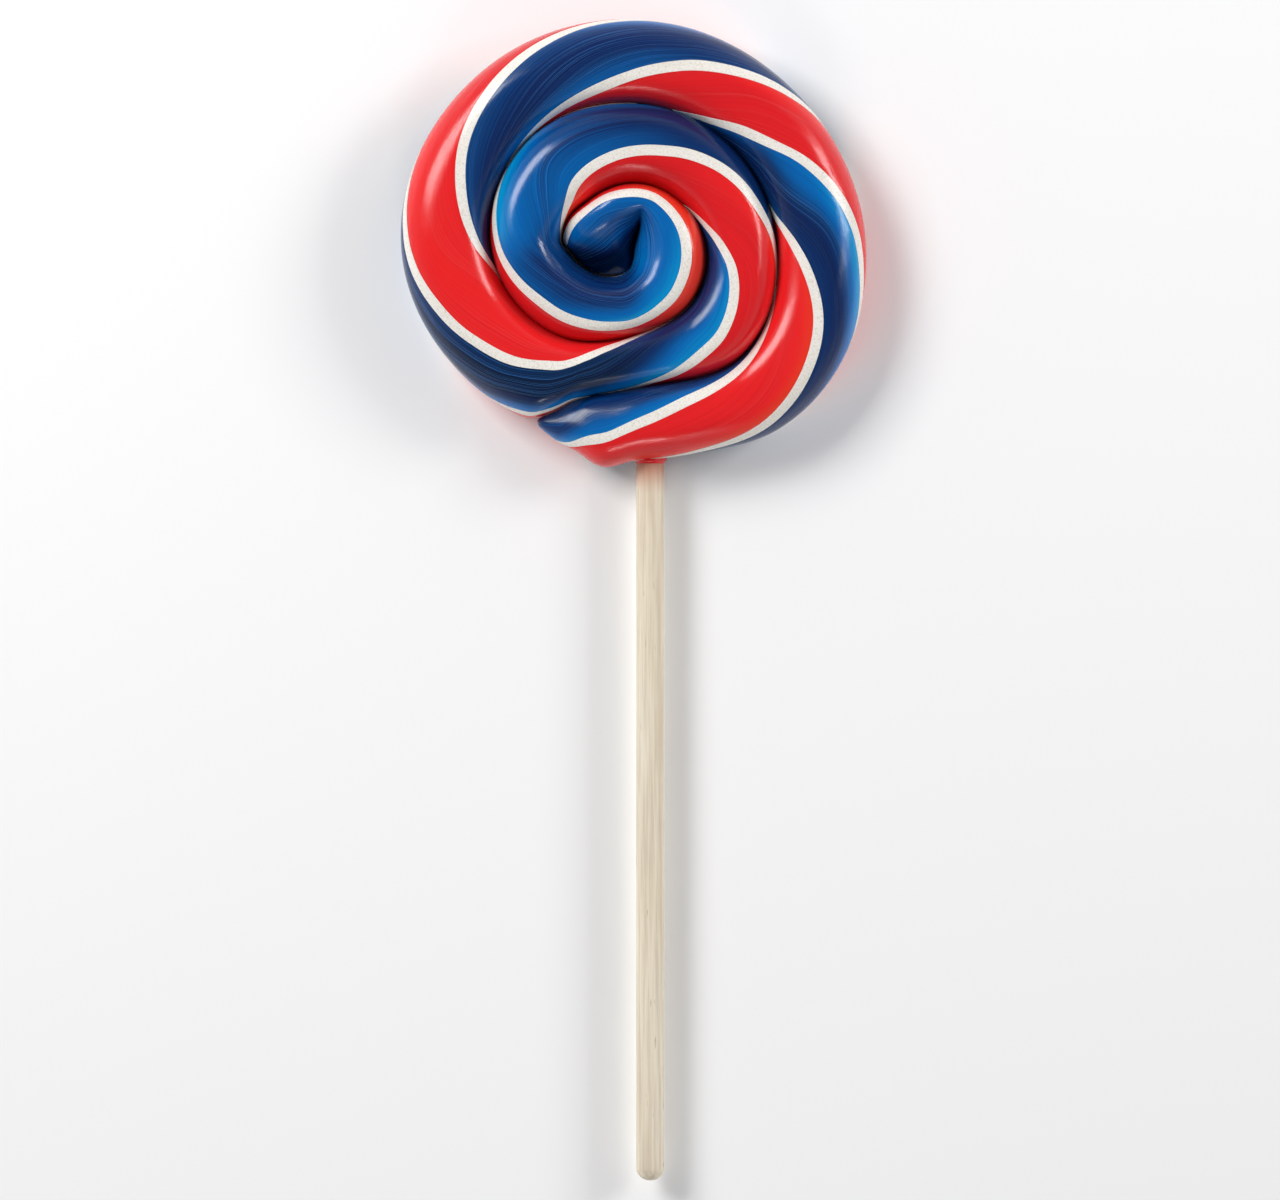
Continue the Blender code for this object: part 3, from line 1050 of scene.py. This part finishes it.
@dataclass
class Stick:
    """The birch dowel, with the candy's small collar where it goes in."""

    radius: float = 2.2 * MM
    end_y: float = -152.9 * MM
    length: float = 139.7 * MM
    height: float = 4.8 * MM
    nose: float = 2.0 * MM
    nose_steps: int = 10
    rings: int = 90
    sides: int = 64
    entry_y: float = -39.8 * MM
    collar_length: float = 0.45 * MM
    collar_reach: float = 0.35 * MM
    collar_buried: float = 1.6 * MM
    collar_steps: int = 8
    collar_lip: float = 1.004
    collar_swell: float = 1.02
    waver: float = 0.012
    waver_length: float = 18.0 * MM
    waver_seed: float = 3.0

    def lathe(self, profile: Sequence[tuple[float, float]]) -> bmesh.types.BMesh:
        """Spins a profile round the stick's axis.

        Args:
            profile: pairs of a radius and a distance up the stick from its free end.

        Returns:
            The closed turned shape, in its place.
        """
        bm = bmesh.new()
        line = [bm.verts.new((radius, y, 0.0)) for radius, y in profile]
        edges = [bm.edges.new(pair) for pair in zip(line, line[1:])]
        bmesh.ops.spin(
            bm,
            geom=line + edges,
            cent=(0.0, 0.0, 0.0),
            axis=(0.0, 1.0, 0.0),
            dvec=(0.0, 0.0, 0.0),
            angle=math.tau,
            steps=self.sides,
            use_merge=True,
        )
        bmesh.ops.remove_doubles(bm, verts=bm.verts, dist=WELD / 10)
        bmesh.ops.translate(bm, vec=(0.0, self.end_y, self.height), verts=bm.verts)
        return bm

    def dowel(self) -> bmesh.types.BMesh:
        """Makes the dowel: a blunt round nose below and a cut top inside the candy.

        Returns:
            The closed shape, very slightly wavering.
        """
        profile = [(0.0, 0.0)]
        for i in range(1, self.nose_steps + 1):
            angle = math.pi / 2 * i / self.nose_steps
            profile.append((self.radius * math.sin(angle), self.nose * (1 - math.cos(angle))))
        for i in range(1, self.rings + 1):
            profile.append((self.radius, self.nose + (self.length - self.nose) * i / self.rings))
        profile.append((0.0, self.length))
        bm = self.lathe(profile)
        for vert in bm.verts:
            wave = noise.noise(Vector((vert.co.y / self.waver_length, 0.0, self.waver_seed)))
            vert.co.x *= 1 + self.waver * wave
        return bm

    def collar(self) -> bmesh.types.BMesh:
        """Makes the collar: candy that crept a little way down the stick.

        Returns:
            The closed shape, whose top is buried in the head.
        """
        start = self.entry_y - self.end_y - self.collar_length
        profile = [(0.0, start), (self.radius * self.collar_lip, start)]
        thin = self.radius * self.collar_swell
        for i in range(1, self.collar_steps + 1):
            angle = math.pi / 2 * i / self.collar_steps
            radius = thin + self.collar_reach * (1 - math.cos(angle))
            profile.append((radius, start + self.collar_length * math.sin(angle)))
        end = start + self.collar_length + self.collar_buried
        profile += [(thin + self.collar_reach, end), (0.0, end)]
        return self.lathe(profile)

    def build(self, candy: bpy.types.Material) -> list[bpy.types.Object]:
        """Makes and dresses the stick and the collar.

        Args:
            candy: the finish of the collar.

        Returns:
            The two pieces.
        """
        birch = Birch()
        dowel = finished(self.dowel(), "birch_dowel", birch.material())
        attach(dowel, BODY)
        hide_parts("stick")
        collar = finished(self.collar(), "candy_collar", candy)
        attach(collar, BODY)
        return [dowel, collar]


@dataclass(frozen=True)
class SoftBox:
    """A soft light: its compass angle and height seen from the head, its sides and brightness."""

    name: str
    azimuth: float
    elevation: float
    size: tuple[float, float]
    radiance: float
    distance: float = 0.8


@dataclass
class Studio:
    """The pale sweep, four soft lights and the camera that looks straight down."""

    mm_per_pixel: float = 0.157
    frame_width: float = 1280.0
    frame_height: float = 1200.0
    outline_pixel: tuple[float, float] = (634.0, 244.0)
    lens: float = 300.0
    sensor: float = 36.0
    level: float = 6.0 * MM
    nearest: float = 10.0 * MM
    sweep: float = 3.0
    horizon: tuple[float, float] = (0.15, 0.85)
    low_sky: tuple[float, float, float, float] = (0.62, 0.62, 0.62, 1.0)
    high_sky: tuple[float, float, float, float] = (0.12, 0.12, 0.13, 1.0)
    boxes: tuple[SoftBox, ...] = (
        SoftBox("key_box", azimuth=146.0, elevation=43.0, size=(0.4, 0.3), radiance=12.8),
        SoftBox("right_panel", azimuth=20.0, elevation=30.0, size=(0.3, 0.24), radiance=12.0),
        SoftBox("right_glint", azimuth=2.0, elevation=40.0, size=(0.04, 0.12), radiance=12.0),
        SoftBox("low_strip", azimuth=268.0, elevation=33.0, size=(0.22, 0.04), radiance=20.0),
    )

    def camera(self, outline: Vector) -> None:
        """Sets the camera above the lollipop.

        Args:
            outline: the middle of the head's outline, which fixes the framing.
        """
        right = (self.frame_width / 2 - self.outline_pixel[0]) * self.mm_per_pixel * MM
        down = (self.frame_height / 2 - self.outline_pixel[1]) * self.mm_per_pixel * MM
        wide = self.frame_width * self.mm_per_pixel * MM
        data = bpy.data.cameras.new("camera")
        data.lens = self.lens
        data.sensor_width = self.sensor
        data.clip_start = self.nearest
        eye = bpy.data.objects.new("camera", data)
        eye.location = (outline.x + right, outline.y - down, self.level + wide * self.lens / self.sensor)
        bpy.context.scene.collection.objects.link(eye)
        bpy.context.scene.camera = eye

    def light(self, box: SoftBox, aim: Vector) -> None:
        """Hangs one soft box.

        Args:
            box: where it hangs, how large it is and how bright.
            aim: the point that it faces.
        """
        data = bpy.data.lights.new(box.name, "AREA")
        data.shape = "RECTANGLE"
        data.size, data.size_y = box.size
        data.energy = math.pi * box.size[0] * box.size[1] * box.radiance
        around, up = math.radians(box.azimuth), math.radians(box.elevation)
        level = Vector((math.cos(around), math.sin(around), 0.0)) * math.cos(up)
        away = level + Vector((0.0, 0.0, math.sin(up)))
        lamp = bpy.data.objects.new(box.name, data)
        turn = (-away).to_track_quat("-Z", "Y").to_matrix().to_4x4()
        lamp.matrix_world = Matrix.Translation(aim + away * box.distance) @ turn
        bpy.context.scene.collection.objects.link(lamp)

    def sky(self) -> None:
        """Gives the room its dim light, which is paler near the floor than overhead."""
        world = bpy.data.worlds.new("studio")
        world.use_nodes = True
        board = NodeBoard(world.node_tree)
        up = board.add("SeparateXYZ", {0: board.add("TexCoord").outputs["Generated"]}).outputs["Z"]
        colour = board.blend(board.spread(up, *self.horizon), self.low_sky, self.high_sky)
        board.feed(world.node_tree.nodes["Background"].inputs["Color"], colour)
        bpy.context.scene.world = world

    def build(self, outline: Vector) -> None:
        """Lays the sweep, hangs the lights and sets the camera.

        Args:
            outline: the middle of the head's outline.
        """
        bm = bmesh.new()
        bmesh.ops.create_grid(bm, x_segments=2, y_segments=2, size=self.sweep)
        floor = finished(bm, "sweep", PaleFloor().material())
        self.sky()
        bpy.context.scene.view_settings.view_transform = "Standard"
        head = Vector((outline.x, outline.y, 0.0))
        for box in self.boxes:
            self.light(box, head)
        self.camera(outline)


def main() -> None:
    """Builds the lollipop and its studio, and reports each piece."""
    logging.basicConfig(level=logging.INFO, format="%(name)s: %(message)s")
    finishes = {colour: colour.value.material() for colour in StripColour}
    head = CandyHead()
    for piece in head.build(finishes) + Stick().build(finishes[StripColour.RED]):
        log.info("%s: %d vertices", piece.name, len(piece.data.vertices))
    Studio().build(head.coil.centre)


if __name__ == "__main__":
    main()
